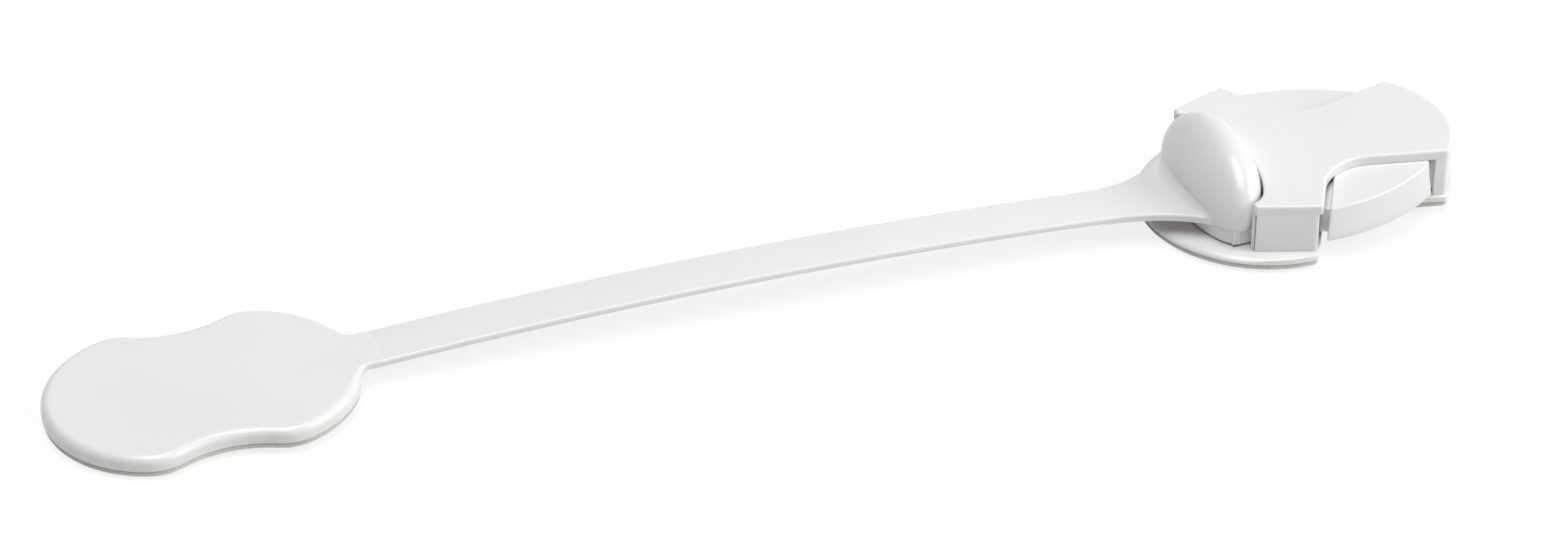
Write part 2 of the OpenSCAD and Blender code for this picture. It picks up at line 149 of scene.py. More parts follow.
FLANGE_TOP_Z = 7.8

# Button springs
SPRING_TURNS = 7.0
WIRE_R = 0.25
SPRING_R = 1.55
SPRING_X = 12.8
SPRING_Z = 5.3
SPRING_Y0 = 6.0
SPRING_Y1 = 15.25
SPRING_CLOSE = 1.16

# Leaning dome with its half axes along, across and up, its neck, and the flare and band of the strap
DOME_X = -9.0
DOME_Z = 7.0
DOME_A = 5.6
DOME_B = 14.1
DOME_C = 8.8
DOME_LEAN = math.radians(15)
NOTCH_GAP = 0.18
SKIRT_Z = 5.0
SKIRT_END_X = -9.6
NECK_INSET = 0.55
NECK_Z = SEAM_Z + 0.3
NECK_TOP_Z = SKIRT_Z + 0.3
LUG_Z = 3.1
LUG_INSET = 0.9
CHEEK = (SKIRT_END_X - 1.4, SKIRT_END_X + 2.2, 10.5, 13.35)
STRAP_W = 8.6
STRAP_T = 1.2
STRAP_EDGE_R = 0.4
STRAP_TOP_Z = 6.15
FLARE_R = 25.3
FLARE_EASE = 8.0
FILLET_RISE = 2.0
BAND_X0 = -29.0
BAND_X1 = -147.2
BAND_RISE = 1.85
BAND_ARCH = 1.85
BAND_LAP = 1.2

# Paddle
PADDLE_X = -174.7
PADDLE_L = 48.4
PADDLE_W = 33.6
PADDLE_WAIST = 29.1
PADDLE_LOBE_X = 10.15
PADDLE_CORNER_R = 7.2
PADDLE_TOP_Z = 8.0
PADDLE_Z = 5.5
PADDLE_EDGE_R = 1.3
PADDLE_FOOT_R = 0.3
ROOT_R = 1.5
ROOT_X = BAND_X1 - 5.6
ROOT_EASE = 3.0
ROOT_Y = 6.5

# Foam pads
FOAM_INSET = 0.2
FOAM_EDGE_R = 0.3

# Stage and light, in metres: the floor passes under the lock's foam and the paddle's far edge
STAGE_LOCK_X = -0.0198
STAGE_PADDLE_X = -0.1987
STAGE_PADDLE_Z = 0.0046
STAGE_DROP = 0.0003
STAGE_HALF = 6.0
STAGE_BOUNCE = 0.8
STAGE_TONE = 0.2
STAGE_GLOW = 0.82
WORLD_LEVEL = 0.06
LAMPS = (
    # name, place, target, size, power, colour
    ("overhead", (-0.25, -0.3, 2.5), (-0.08, 0, 0), (1.3, 2.2), 51.5, (0.965, 0.99, 1.0)),
    ("right", (1.5, -0.75, 0.95), (0.0, 0, 0), (1.2, 1.2), 26.0, (1, 1, 1)),
)

# Values that follow from the ones above
END_R = ((END_X - TAIL[0]) ** 2 + TAIL[1] ** 2) / (2 * (END_X - TAIL[0]))
END_C = np.array([END_X - END_R, 0.0])
FLANK_UP = np.array([-math.cos(FLANK_ANGLE), math.sin(FLANK_ANGLE)])
FLANK_OUT = np.array([math.sin(FLANK_ANGLE), math.cos(FLANK_ANGLE)])
DOME_H = math.hypot(DOME_A * math.sin(DOME_LEAN), DOME_C * math.cos(DOME_LEAN))
DOME_W = DOME_A * DOME_C / DOME_H
DOME_DRIFT = (DOME_C ** 2 - DOME_A ** 2) * math.sin(DOME_LEAN) * math.cos(DOME_LEAN) / DOME_H ** 2
BAND_L = BAND_X0 - BAND_X1
BAND_CHORD = math.hypot(BAND_L, BAND_RISE)
BAND_R = (BAND_CHORD ** 2 / 4 + BAND_ARCH ** 2) / (2 * BAND_ARCH)
BAND_TILT = math.atan2(BAND_RISE, BAND_L)


# Plane curves

def direction(angle):
    """Unit vector at an angle, in radians, from the X axis."""
    return np.array([math.cos(angle), math.sin(angle)])


def angle_of(v):
    """Angle of a plane vector from the X axis."""
    return math.atan2(v[1], v[0])


def meet(p, a, q, b):
    """Meeting point of the lines p + t u(a) and q + s u(b)."""
    t = ((q[0] - p[0]) * math.sin(b) - (q[1] - p[1]) * math.cos(b)) / math.sin(b - a)
    return p + t * direction(a)


def to_circle(rel, u, r):
    """Distance from a point along the unit vector u to a circle of radius r, the point given from the
    circle's centre: the larger root of |rel + t u| = r."""
    along = rel @ u
    return math.sqrt(along ** 2 - rel @ rel + r ** 2) - along


def arc(centre, radius, a0, a1, count=48):
    """Points centre + radius (cos a, sin a) for a from a0 to a1."""
    a = np.linspace(a0, a1, count)
    return np.column_stack([centre[0] + radius * np.cos(a), centre[1] + radius * np.sin(a)])


def mirrored(half):
    """The half outline followed by its mirror image, walked backwards."""
    return np.vstack([half, half[::-1] * np.array([1, -1])])


def run_length(points):
    """Distance walked along a line of points, up to each of them."""
    return np.concatenate([[0], np.cumsum(np.linalg.norm(np.diff(points, axis=0), axis=1))])


def spaced(loop, count):
    """A set number of points round a closed loop, evenly by arc length, and the step between them."""
    closed = np.vstack([loop, loop[:1]])
    s = run_length(closed)
    u = np.arange(count) * s[-1] / count
    return np.column_stack([np.interp(u, s, closed[:, k]) for k in range(2)]), s[-1] / count


def blur(values, step, sigma):
    """Periodic Gaussian blur of evenly spaced rows, by Fourier transform."""
    f = np.fft.fftfreq(len(values), step)
    gain = np.exp(-2 * (math.pi * sigma * f) ** 2)[:, None]
    return np.fft.ifft(np.fft.fft(values, axis=0) * gain, axis=0).real


def smooth_loop(points, spacing=0.2, sigma=0.35):
    """Closed loop through the points, resampled evenly by arc length and convolved with a periodic
    Gaussian of width sigma, which rounds every corner and leaves long curves as they are."""
    points = np.asarray(points, float)
    length = run_length(np.vstack([points, points[:1]]))[-1]
    loop = blur(*spaced(points, int(length / spacing)), sigma)
    area = np.sum(loop[:, 0] * np.roll(loop[:, 1], -1) - loop[:, 1] * np.roll(loop[:, 0], -1))
    return loop if area > 0 else loop[::-1]


def matched(loop, count):
    """The loop resampled to a set number of points, starting at its leftmost one."""
    return spaced(np.roll(loop, -int(np.argmin(loop[:, 0])), axis=0), count)[0]


def loop_normals(loop, sigma=0.0):
    """Outward normals of an anticlockwise loop, the tangent turned by -90 degrees, blurred over sigma so
    that rings moved inwards along them do not fold at a corner."""
    t = np.roll(loop, -1, axis=0) - np.roll(loop, 1, axis=0)
    step = np.linalg.norm(t, axis=1).mean() / 2
    t /= np.linalg.norm(t, axis=1, keepdims=True)
    n = np.column_stack([t[:, 1], -t[:, 0]])
    return blur(n, step, sigma) if sigma else n


# Shells

def skin(rings, caps=(True, True)):
    """Quads between neighbouring closed rings, with a flat face on the first and last where asked."""
    m, n = rings.shape[:2]
    i, k = np.meshgrid(np.arange(m - 1), np.arange(n), indexing="ij")
    a = i * n + k
    b = i * n + (k + 1) % n
    faces = np.stack([a, b, b + n, a + n], axis=-1).reshape(-1, 4).tolist()
    if caps[0]:
        faces.append(list(range(n)))
    if caps[1]:
        faces.append(list(range((m - 1) * n, m * n)))
    return rings.reshape(-1, 3), faces


def slab(loop, z0, z1, r_top, r_bottom, steps=5, rim=0.3):
    """Slab over a loop with rounded edges: each ring is the loop moved along its normals by
    -r (1 - sin a) at height z1 - r (1 - cos a) over the upper edge, and likewise below, and a last ring
    further in by the rim keeps the flat faces flat in the shading."""
    n = loop_normals(loop, 0.9 * (np.max(r_top) + rim))
    one = np.ones(len(loop))
    z0, z1, r_top, r_bottom = (np.asarray(v) * one for v in (z0, z1, r_top, r_bottom))
    a = np.linspace(0, QUARTER, steps + 1)[:, None]
    inwards, rise = 1 - np.sin(a), 1 - np.cos(a)
    off = np.vstack([-(r_top + rim), -r_top * inwards, -r_bottom * rise, -(r_bottom + rim)])
    z = np.vstack([z1, z1 - r_top * rise, z0 + r_bottom * inwards, z0])
    return skin(np.dstack([loop[None] + off[:, :, None] * n[None], z]))


def rounded_bar(x0, x1, y0, y1, z0, z1, r=0.25):
    """Upright bar over a rectangle with rounded corners."""
    loop = smooth_loop([[x0, y0], [x1, y0], [x1, y1], [x0, y1]], spacing=0.12, sigma=r / 2)
    return slab(loop, z0, z1, r, r, steps=3, rim=0.1)


def round_post(x, y, r, z0, z1, edge=0.25):
    """Upright round post with rounded ends."""
    return slab(arc((x, y), r, 0, TURN, 41)[:-1], z0, z1, edge, edge, steps=3, rim=0.1)


def eye_ring(x, y, inner, outer, z0, z1, edge=0.2):
    """Upright tube: the outer wall, the rounded rims and the bore as one closed sheet."""
    a = np.linspace(0, QUARTER, 4)
    s, c = edge * (1 - np.sin(a)), edge * (1 - np.cos(a))
    r = np.concatenate([outer - s, outer - c, inner + s, inner + c])
    z = np.concatenate([z1 - c, z0 + s, z0 + c, z1 - s])
    r, z = np.append(r, r[0]), np.append(z, z[0])
    t = np.linspace(0, TURN, 41)[:-1]
    rings = np.dstack([x + r[:, None] * np.cos(t), y + r[:, None] * np.sin(t), z[:, None] + 0 * t])
    return skin(rings, caps=(False, False))


def flipped(shell):
    """The shell mirrored across the strap's middle plane."""
    points, faces = shell
    return points * np.array([1, -1, 1]), [f[::-1] for f in faces]


def both_sides(shells):
    """The shells of the back half and their mirror images in the front half."""
    return list(shells) + [flipped(s) for s in shells]


def piece(name, shells, material, body=None, replaces=(), sharp=38):
    """One mesh object from closed shells, welded and facing outwards, smooth below the sharp angle."""
    points, faces, start = [], [], 0
    for p, f in shells:
        points.append(p)
        faces += [[start + i for i in face] for face in f]
        start += len(p)
    mesh = bpy.data.meshes.new(name)
    mesh.from_pydata((np.vstack(points) * MM).tolist(), [], faces)
    bm = bmesh.new()
    bm.from_mesh(mesh)
    bmesh.ops.remove_doubles(bm, verts=bm.verts, dist=1e-7)
    bmesh.ops.recalc_face_normals(bm, faces=bm.faces)
    bm.to_mesh(mesh)
    bm.free()
    mesh.polygons.foreach_set("use_smooth", np.ones(len(mesh.polygons), bool))
    mesh.set_sharp_from_angle(angle=math.radians(sharp))
    mesh.materials.append(material)
    obj = bpy.data.objects.new(name, mesh)
    bpy.context.scene.collection.objects.link(obj)
    if body:
        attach(obj, body)
    if replaces:
        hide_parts(*replaces)
    return obj


# Materials

def start_material(name):
    """New node material with its nodes, its links and its shader."""
    mat = bpy.data.materials.new(name)
    mat.use_nodes = True
    nodes = mat.node_tree.nodes
    return mat, nodes, mat.node_tree.links, nodes["Principled BSDF"]


def add_node(nodes, kind, **values):
    """New node of a kind with its sockets set, a socket's name written with _ for each space."""
    node = nodes.new(kind)
    for socket, value in values.items():
        node.inputs[socket.replace("_", " ")].default_value = value
    return node


def colour_ramp(nodes, at0, colour0, at1, colour1):
    """Ramp from one colour at a first value to another at a second."""
    ramp = nodes.new("ShaderNodeValToRGB")
    first, last = ramp.color_ramp.elements
    first.position, last.position = at0, at1
    first.color, last.color = (*colour0, 1), (*colour1, 1)
    return ramp


def moulded_plastic(name, colour, roughness, haze):
    """White moulded plastic: slow colour drift, a faint orange-peel bump and slightly uneven gloss."""
    mat, nodes, links, shader = start_material(name)
    place = nodes.new("ShaderNodeTexCoord").outputs["Object"]
    drift = add_node(nodes, "ShaderNodeTexNoise", Scale=45.0, Detail=3.0)
    peel = add_node(nodes, "ShaderNodeTexNoise", Scale=1400.0, Detail=2.0)
    red, green, blue = (c * (1 - haze) for c in colour)
    tint = colour_ramp(nodes, 0.3, (red, green, blue * 0.995), 0.7, colour)
    gloss = add_node(nodes, "ShaderNodeMapRange", To_Min=roughness - 0.04, To_Max=roughness + 0.05)
    bump = add_node(nodes, "ShaderNodeBump", Strength=0.06, Distance=0.00006)
    links.new(place, drift.inputs["Vector"])
    links.new(place, peel.inputs["Vector"])
    links.new(drift.outputs["Fac"], tint.inputs["Fac"])
    links.new(tint.outputs["Color"], shader.inputs["Base Color"])
    links.new(drift.outputs["Fac"], gloss.inputs["Value"])
    links.new(gloss.outputs["Result"], shader.inputs["Roughness"])
    links.new(peel.outputs["Fac"], bump.inputs["Height"])
    links.new(bump.outputs["Normal"], shader.inputs["Normal"])
    shader.inputs["IOR"].default_value = 1.49
    return mat


def adhesive_foam(name):
    """Grey-beige foam: fine open cells that show in colour and bump, fully matt."""
    mat, nodes, links, shader = start_material(name)
    place = nodes.new("ShaderNodeTexCoord").outputs["Object"]
    cells = add_node(nodes, "ShaderNodeTexVoronoi", Scale=3200.0)
    cloud = add_node(nodes, "ShaderNodeTexNoise", Scale=180.0, Detail=4.0)
    mix = nodes.new("ShaderNodeMath")
    mix.operation = "MULTIPLY_ADD"
    mix.inputs[1].default_value = 0.5
    tint = colour_ramp(nodes, 0.35, (0.56, 0.545, 0.505), 0.95, (0.70, 0.685, 0.645))
    bump = add_node(nodes, "ShaderNodeBump", Strength=0.4, Distance=0.0001)
    links.new(place, cells.inputs["Vector"])
    links.new(place, cloud.inputs["Vector"])
    links.new(cells.outputs["Distance"], mix.inputs[0])
    links.new(cloud.outputs["Fac"], mix.inputs[2])
    links.new(mix.outputs["Value"], tint.inputs["Fac"])
    links.new(tint.outputs["Color"], shader.inputs["Base Color"])
    links.new(cells.outputs["Distance"], bump.inputs["Height"])
    links.new(bump.outputs["Normal"], shader.inputs["Normal"])
    shader.inputs["Roughness"].default_value = 0.95
    shader.inputs["Specular IOR Level"].default_value = 0.15
    return mat


def plain_steel(name):
    """Drawn steel: fine scratches in roughness over a slightly uneven grey."""
    mat, nodes, links, shader = start_material(name)
    place = nodes.new("ShaderNodeTexCoord").outputs["Object"]
    grain = add_node(nodes, "ShaderNodeTexNoise", Scale=900.0, Detail=5.0)
    tint = colour_ramp(nodes, 0.0, (0.42, 0.43, 0.45), 1.0, (0.62, 0.63, 0.65))
    gloss = add_node(nodes, "ShaderNodeMapRange", To_Min=0.25, To_Max=0.45)
    links.new(place, grain.inputs["Vector"])
    links.new(grain.outputs["Fac"], tint.inputs["Fac"])
    links.new(tint.outputs["Color"], shader.inputs["Base Color"])
    links.new(grain.outputs["Fac"], gloss.inputs["Value"])
    links.new(gloss.outputs["Result"], shader.inputs["Roughness"])
    shader.inputs["Metallic"].default_value = 1.0
    return mat


lock_white = moulded_plastic("lock_white", (0.83, 0.81, 0.805), 0.26, 0.03)
button_white = moulded_plastic("button_white", (0.80, 0.785, 0.785), 0.28, 0.03)
strap_white = moulded_plastic("strap_white", (0.83, 0.81, 0.805), 0.24, 0.035)
foam_beige = adhesive_foam("foam_beige")
steel = plain_steel("steel")


# Outlines of the lock

def dome_mid(z):
    """Middle of the leaning dome's level section at height z."""
    return DOME_X + DOME_DRIFT * (z - DOME_Z)


def dome_half(z, y=0.0):
    """Half width along the strap of the dome's level section at height z, at distance y across."""
    return DOME_W * np.sqrt(np.maximum(1 - ((z - DOME_Z) / DOME_H) ** 2 - (y / DOME_B) ** 2, 0))


def waist_half(d, lip=0.0):
    """Half of the waist, moved inwards by d and its flank outwards by a lip: hollow arc between the flank
    line and the tail line, and the end arc, from the shoulder to the end's middle."""
    flank_p = SHOULDER + (lip - d) * FLANK_OUT
    tail_p = TAIL + d * np.array([math.sin(TAIL_ANGLE), -math.cos(TAIL_ANGLE)])
    tail_u = direction(TAIL_ANGLE)
    w = meet(flank_p, -FLANK_ANGLE, tail_p, TAIL_ANGLE)
    half = (math.pi - FLANK_ANGLE - TAIL_ANGLE) / 2
    r = WAIST_R + d
    mid = (FLANK_UP + tail_u) / np.linalg.norm(FLANK_UP + tail_u)
    c = w + mid * r / math.sin(half)
    t1 = w + FLANK_UP * r / math.tan(half)
    t2 = w + tail_u * r / math.tan(half)
    hollow = arc(c, r, angle_of(t1 - c) % TURN, angle_of(t2 - c) % TURN)
    corner = tail_p + to_circle(tail_p - END_C, tail_u, END_R - d) * tail_u
    end = arc(END_C, END_R - d, angle_of(corner - END_C), 0, 40)
    return np.vstack([hollow, end])


def cover_loop(d=0.0, lip=0.0):
    """Outline of the cover moved inwards by d, with the oval notch for the dome at the strap side and
    flanks that stand out by a lip."""
    side = angle_of(SHOULDER - MOUTH)
    side_p = MOUTH + d * np.array([math.sin(side), -math.cos(side)])
    flank_p = SHOULDER + (lip - d) * FLANK_OUT
    s = meet(side_p, side, flank_p, -FLANK_ANGLE)
    m = meet(side_p, side, np.array([MOUTH[0], 0.0]), QUARTER)
    y = np.linspace(0, m[1] - 0.2, 60)
    across = np.sqrt(np.maximum(1 - (y / (DOME_B + NOTCH_GAP)) ** 2, 0))
    x = dome_mid(PLATE_Z) + (dome_half(PLATE_Z) + NOTCH_GAP) * across
    edge = np.column_stack([np.maximum(x, MOUTH[0]), y])
    return mirrored(np.vstack([edge, m, s, waist_half(d, lip)]))


def base_loop(d=0.0):
    """Outline of the base moved inwards by d: the round lobe up to the flank line, then waist and tail."""
    out = d - BASE_MARGIN
    r = LOBE_R - d
    flank_p = SHOULDER - out * FLANK_OUT
    hit = flank_p + to_circle(flank_p, FLANK_UP, r) * FLANK_UP
    lobe = arc((0, 0), r, math.pi, angle_of(hit), 90)
    return mirrored(np.vstack([lobe, waist_half(out)]))


# Lock cover and base

def wall_strip(loop, keep, z0, z1, thick, end_r=0.3, edge=0.06, inset=0.015):
    """Wall along an open stretch of a loop: a rounded rectangle carried along it, a hair inside it, and
    drawn in by r - sqrt(r^2 - u^2) over the last stretch u of each end so that the ends are rounded."""
    n = loop_normals(loop)[keep]
    p = loop[keep]
    s = run_length(p)
    v = np.clip(end_r - np.minimum(s, s[-1] - s), 0, end_r)
    pull = end_r - np.sqrt(end_r ** 2 - v ** 2)
    a = np.linspace(0, QUARTER, 4)
    ca, sa = edge * (1 - np.cos(a)), edge * (1 - np.sin(a))
    depth = np.concatenate([sa, ca, thick - sa, thick - ca]) + inset
    z = np.concatenate([z1 - ca, z0 + sa, z0 + ca, z1 - sa])
    middle = thick / 2
    share = 1 - pull[:, None] / middle * 0.98
    off = -(middle + (depth[None] - middle) * share)
    xy = p[:, None] + off[:, :, None] * n[:, None]
    return skin(np.dstack([xy, np.broadcast_to(z, off.shape)]))


def lock_cover():
    """Flat-topped cover: a rounded lid, walls along the sides and round the shoulders, inner walls along the
    mouth, the end wall of the tail, and bosses over the screws."""
    lid = smooth_loop(cover_loop(lip=FLANK_LIP), OUTLINE_STEP, OUTLINE_SOFT)
    outline = smooth_loop(cover_loop(), OUTLINE_STEP, OUTLINE_SOFT)
    middle = np.flatnonzero((np.abs(outline[:, 1]) < 0.5) & (outline[:, 0] < 0))[0]
    outline = np.roll(outline, -middle, axis=0)
    x, y = outline.T
    across = np.abs(y)
    side = (across > np.where(x < 0, SIDE_Y, RETURN_Y)) & (x > MOUTH[0] + MOUTH_MARGIN) & (x < RETURN_X)
    mouth = (across > MOUTH_WALL_Y) & (across < MOUTH[1] - MOUTH_MARGIN) & (x < 0)
    walls = [(side & (y > 0), SIDE_WALL), (side & (y < 0), SIDE_WALL),
             (mouth & (y > 0), MOUTH_WALL), (mouth & (y < 0), MOUTH_WALL), (x > WINDOW_X, WALL)]
    shells = [slab(lid, LID_Z, LOCK_H, LID_EDGE_R, LID_FOOT_R, steps=8)]
    for stretch, thick in walls:
        shells.append(wall_strip(outline, np.flatnonzero(stretch), SEAM_Z, LID_Z + WALL_LAP, thick))
    bosses = [round_post(*place, BOSS_R, FLOOR_Z, PLATE_Z + 0.3, 0.15) for place in BOSSES]
    piece("cover_shell", shells + both_sides(bosses), lock_white,
          "lock", ["lock_cover"])


def rim_shell(loop):
    """Rim of the base: its upper edge falls along a quarter ellipse, moved inwards by w (1 - sin a) at
    height top - h (1 - cos a), that is broad round the open lobe and narrow beside the cover, and its foot
    is drawn in a little over the foam."""
    t = np.clip((loop[:, 0] - RIM_OPEN_X) / RIM_EASE, 0, 1)
    w = RIM_SLOPE * (1 - t * t * (3 - 2 * t)) + RIM_EDGE
    h = RIM_FALL * w / w.max()
    level = 0 * w
    n = loop_normals(loop, 1.2)
    a = np.linspace(0, QUARTER, 9)[:, None]
    foot = level - FOOT_IN
    off = np.vstack([-(w + RIM_FLAT), -w * (1 - np.sin(a)), level, foot, foot - RIM_FLAT])
    z = np.vstack([SEAM_Z + level, SEAM_Z - h * (1 - np.cos(a)),
                   level + FOAM_T + FOOT_RISE, level + FOAM_T, level + FOAM_T])
    return skin(np.dstack([loop[None] + off[:, :, None] * n[None], z]))


def lock_base():
    """Base plate with its raised floor, pivot posts, tongue rails and spring seats."""
    rim = smooth_loop(base_loop())
    floor = cover_loop(WALL + SEAT_GAP)
    floor[:, 0] = np.maximum(floor[:, 0], FLOOR_X)
    floor = smooth_loop(floor, 0.2, 0.3)
    fittings = [
        round_post(*PIVOT, POST_R, FITTING_Z, BUTTON_TOP_Z),
        rounded_bar(*RAIL, FITTING_Z, RAIL_TOP_Z, FITTING_EDGE),
        rounded_bar(*SEAT, FITTING_Z, SEAT_TOP_Z, FITTING_EDGE),
    ]
    shells = [rim_shell(rim), slab(floor, FLOOR_FOOT_Z, FLOOR_Z, 0.25, 0.05)]
    piece("base_plate", shells + both_sides(fittings), lock_white,
          "lock", ["lock_base"])


# Buttons and their springs

def button_loop(bow, inner_y, gap, end_x, sigma):
    """Plan of a button: shoulder line beside the flank, bowed outer arc of radius bow, square end and
    inner edge, with its corners softened over sigma, as a set number of points."""
    flank_p = SHOULDER + gap * FLANK_OUT
    outer = flank_p + to_circle(flank_p - BOW_C, FLANK_UP, bow) * FLANK_UP
    inner = meet(flank_p, -FLANK_ANGLE, np.array([0.0, inner_y]), 0.0)
    end_y = BOW_C[1] + math.sqrt(bow ** 2 - (end_x - BOW_C[0]) ** 2)
    bow_arc = arc(BOW_C, bow, angle_of(outer - BOW_C), angle_of(np.array([end_x, end_y]) - BOW_C), 60)
    plan = np.vstack([inner, bow_arc, [end_x, BUTTON_END_Y], HEEL, [HEEL_X, inner_y]])
    return matched(smooth_loop(plan, 0.15, sigma), 360)


def button_shell():
    """Button hollow from below: the plan drawn in towards its top by the draft, a crisp crease round
    the top, and an inner skin up to the roof. The eye on the pivot, the jaw with its tooth, the web behind
    the finger face and the flange in the slot beside the flank are joined to it."""
    foot = button_loop(BOW_R + BOW_DRAFT, BUTTON_IN_Y, SHOULDER_GAP, BUTTON_END_X, 0.3)
    head = button_loop(BOW_R - BOW_DRAFT, BUTTON_IN_Y, SHOULDER_GAP + SHOULDER_DRAFT, BUTTON_END_X, 0.45)
    hollow = button_loop(BOW_R - BUTTON_WALL, HOLLOW_IN_Y, SHOULDER_GAP + BUTTON_SIDE,
                         BUTTON_END_X - BUTTON_WALL, 0.3)
    top_r, foot_r = 0.35, 0.25
    face_h = BUTTON_TOP_Z - BUTTON_Z - top_r - foot_r
    a = np.linspace(0, QUARTER, 5)
    n_head, n_foot = loop_normals(head, 0.7), loop_normals(foot, 0.3)
    rows = [(head - (top_r + 0.4) * n_head, BUTTON_TOP_Z)]
    for t in a:
        rows.append((head - top_r * (1 - math.sin(t)) * n_head, BUTTON_TOP_Z - top_r * (1 - math.cos(t))))
    for w in (0.25, 0.5, 0.75):
        rows.append((head * (1 - w) + foot * w, BUTTON_TOP_Z - top_r - w * face_h))
    for t in a:
        rows.append((foot - foot_r * (1 - math.cos(t)) * n_foot, BUTTON_Z + foot_r * (1 - math.sin(t))))
    rows += [(hollow, BUTTON_Z), (hollow, BUTTON_Z + 0.3), (hollow, ROOF_Z)]
    body = skin(np.stack([np.column_stack([xy, np.full(len(xy), z)]) for xy, z in rows]))
    (near, far), (under, over) = FLANGE_ALONG, FLANGE_OFF
    corners = ((near, under), (far, under), (far, over), (near, over))
    flange = smooth_loop([SHOULDER - along * FLANK_UP + off * FLANK_OUT for along, off in corners])
    return [
        body,
        eye_ring(*PIVOT, EYE_IN, EYE_OUT, BUTTON_Z, BUTTON_TOP_Z - 0.02),
        rounded_bar(*JAW, BUTTON_Z, JAW_TOP_Z, FITTING_EDGE),
        rounded_bar(*TOOTH, BUTTON_Z, JAW_TOP_Z, FITTING_EDGE),
        rounded_bar(*WEB, BUTTON_Z + 0.1, ROOF_Z + 0.2, 0.15),
        slab(flange, BUTTON_Z, FLANGE_TOP_Z, 0.2, 0.2),
    ]


def buttons():
    """The back button, and the front one as its mirror image."""
    back = button_shell()
    for side, shells in (("back", back), ("front", [flipped(s) for s in back])):
        piece(f"button_{side}_shell", shells, button_white,
              f"{side}_button", [f"button_{side}"])


def springs():
    """Button springs: a round wire carried along a helix about the Y axis, with closed end turns."""
    t = np.linspace(0, 1, 281)
    turn = TURN * SPRING_TURNS * t
    ease = np.clip((t - 0.5) * SPRING_CLOSE + 0.5, 0, 1)
    radial = np.column_stack([np.cos(turn), 0 * turn, np.sin(turn)])
    y = SPRING_Y0 + WIRE_R + (SPRING_Y1 - SPRING_Y0 - 2 * WIRE_R) * ease
    centre = np.column_stack([SPRING_X + SPRING_R * radial[:, 0], y, SPRING_Z + SPRING_R * radial[:, 2]])
    a = np.linspace(0, TURN, 13)[:-1]
    outwards = np.cos(a)[None, :, None] * radial[:, None]
    along = np.sin(a)[None, :, None] * np.array([0, 1.0, 0])
    shell = skin(centre[:, None] + WIRE_R * (outwards + along))
    for side, shells, sign in (("back", [shell], 1), ("front", [flipped(shell)], -1)):
        obj = piece(f"button_spring_{side}_wire", shells, steel, "lock", [f"button_spring_{side}"])
        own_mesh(obj)


# Strap head: dome, flare with its fillet, and the neck under the dome

def flare_half(x):
    """Half width of the flare: the band's half width plus R - sqrt(R^2 - t^2)."""
    t = np.clip(x - BAND_X0, 0, FLARE_R * 0.95)
    return STRAP_W / 2 + FLARE_R - np.sqrt(FLARE_R ** 2 - t ** 2)


def band_top(x):
    """Height of the band's upper face at x, on its tilted circle of radius BAND_R."""
    mid_x = (BAND_X0 + BAND_X1) / 2
    mid_z = STRAP_TOP_Z + BAND_RISE / 2
    cx = mid_x + math.sin(BAND_TILT) * (BAND_ARCH - BAND_R)
    cz = mid_z + math.cos(BAND_TILT) * (BAND_ARCH - BAND_R)
    return cz + np.sqrt(BAND_R ** 2 - (x - cx) ** 2)


def flare_top(x):
    """Height of the flare's upper face: it leaves the band at the band's slope and eases out level."""
    slope = float((band_top(BAND_X0) - band_top(BAND_X0 - 0.5)) / 0.5)
    t = np.clip((x - BAND_X0) / FLARE_EASE, 0, 1)
    return STRAP_TOP_Z + slope * FLARE_EASE * (t - t * t / 2)


def dome_shell():
    """Dome: level ellipses x = mid(z) + w cos p cos q, y = b cos p sin q at z = h sin p over its middle,
    from the skirt's foot up to the pole, closed by a flat foot."""
    low = math.asin((SKIRT_Z - DOME_Z) / DOME_H)
    p = np.linspace(QUARTER - 0.004, low, 90)[:, None]
    q = np.linspace(0, TURN, 181)[None, :-1]
    z = DOME_Z + DOME_H * np.sin(p) + 0 * q
    x = dome_mid(z) + DOME_W * np.cos(p) * np.cos(q)
    y = DOME_B * np.cos(p) * np.sin(q)
    return skin(np.dstack([x, y, z]))


